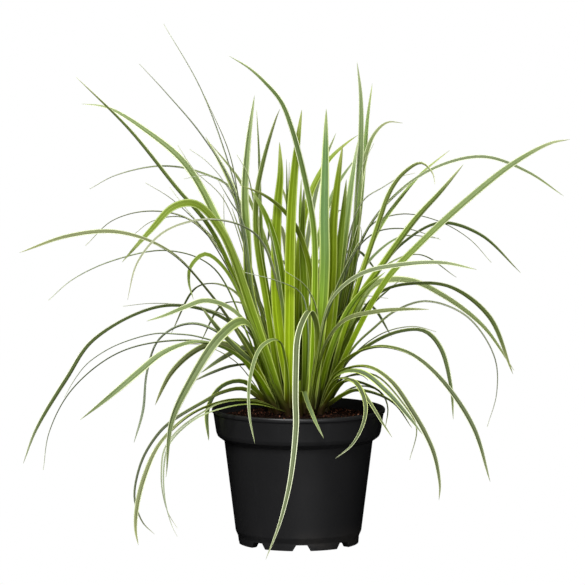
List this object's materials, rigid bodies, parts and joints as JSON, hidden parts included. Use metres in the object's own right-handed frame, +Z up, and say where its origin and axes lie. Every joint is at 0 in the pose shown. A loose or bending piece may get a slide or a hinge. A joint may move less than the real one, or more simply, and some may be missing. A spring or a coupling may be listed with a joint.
{
  "type": "carex sedge in a nursery pot",
  "caption": "Tufted carex sedge with narrow, folded, arching leaves, growing in a mounded soil that fills a round black nursery pot with a collar and a notched foot ring.",
  "frame": {"origin": "on the pot's axis, in the plane of the surface that the pot stands on", "axes": "+Z up along the pot's axis, -Y towards the viewer, +X to the viewer's right"},
  "size_m": [0.5927, 0.5698, 0.5643],
  "materials": {
    "pot": "matte",
    "soil": "matte",
    "leaf": "satin"
  },
  "bodies": {
    "root": {"pot": "pot", "soil": "soil", "shoot_01": "leaf", "shoot_02": "leaf", "shoot_03": "leaf", "shoot_04": "leaf", "shoot_05": "leaf", "shoot_06": "leaf", "shoot_07": "leaf", "shoot_08": "leaf", "shoot_09": "leaf", "shoot_10": "leaf", "shoot_11": "leaf", "shoot_12": "leaf", "shoot_13": "leaf", "shoot_14": "leaf", "shoot_15": "leaf", "shoot_16": "leaf", "shoot_17": "leaf", "shoot_18": "leaf", "shoot_19": "leaf", "shoot_20": "leaf", "shoot_21": "leaf", "shoot_22": "leaf"}
  },
  "joints": []
}
